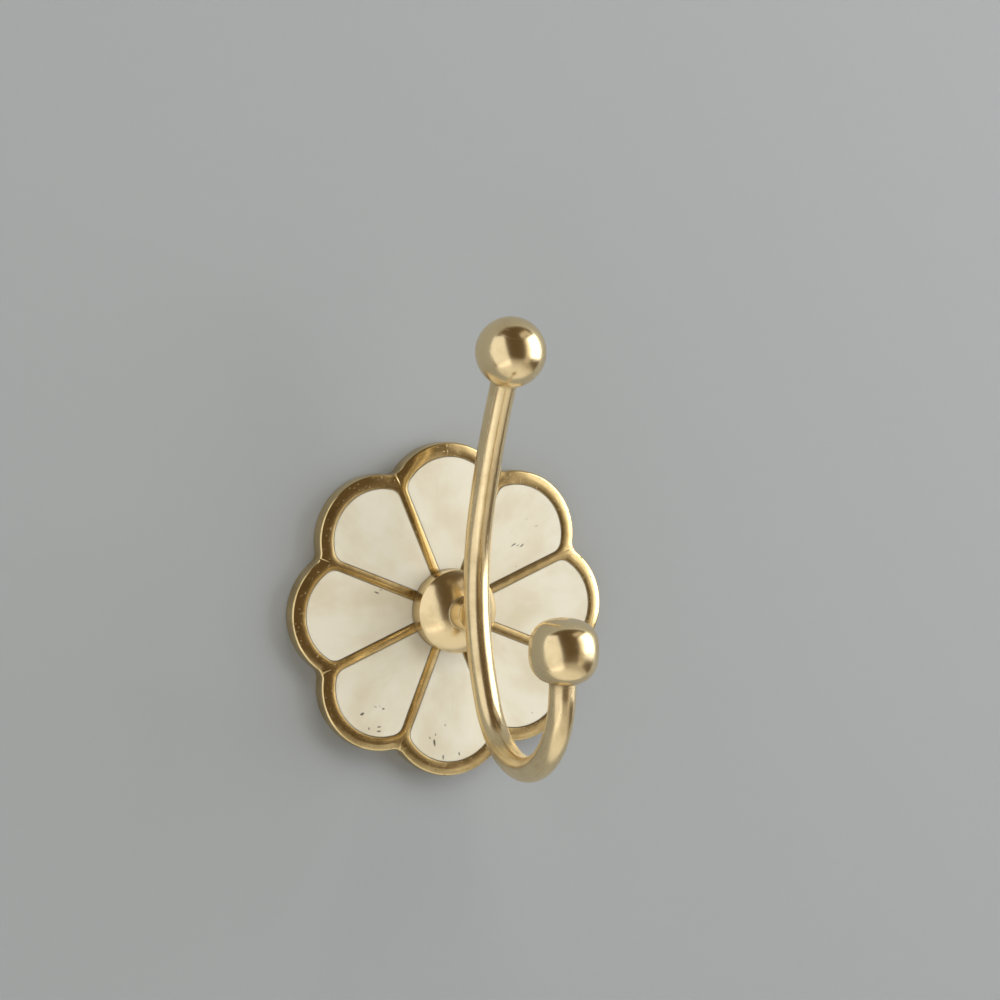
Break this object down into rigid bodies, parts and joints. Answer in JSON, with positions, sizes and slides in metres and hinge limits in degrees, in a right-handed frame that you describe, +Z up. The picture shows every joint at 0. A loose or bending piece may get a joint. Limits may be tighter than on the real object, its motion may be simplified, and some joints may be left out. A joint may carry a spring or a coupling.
{
  "type": "bath hook",
  "caption": "Wall hook of brass: a lobed rosette inlaid with bone, and a bent rod with a ball on its upper arm and a bead on its lower crook.",
  "frame": {"origin": "centre of the rosette's back face, where the screw enters the wall", "axes": "+Z up; +Y into the wall, so that the hook stands out towards -Y; +X to the right for a person who faces the wall"},
  "size_m": [0.079, 0.1022, 0.1083],
  "materials": {
    "cast_brass": "cast and polished brass, with fine pits and brown tarnish left in the corners",
    "turned_brass": "turned and polished brass, lightly tarnished",
    "drawn_brass": "drawn brass rod, polished after bending, lightly tarnished",
    "bone": null,
    "plated_steel": "zinc-plated steel"
  },
  "bodies": {
    "root": {"backplate": "cast_brass", "bone_petal_1": "bone", "bone_petal_2": "bone", "bone_petal_3": "bone", "bone_petal_4": "bone", "bone_petal_5": "bone", "bone_petal_6": "bone", "bone_petal_7": "bone", "bone_petal_8": "bone", "boss": "turned_brass", "hook_rod": "drawn_brass", "upper_ball": "turned_brass", "lower_bead": "turned_brass", "hanger_bolt": "plated_steel", "lock_nut": "plated_steel"}
  },
  "joints": []
}
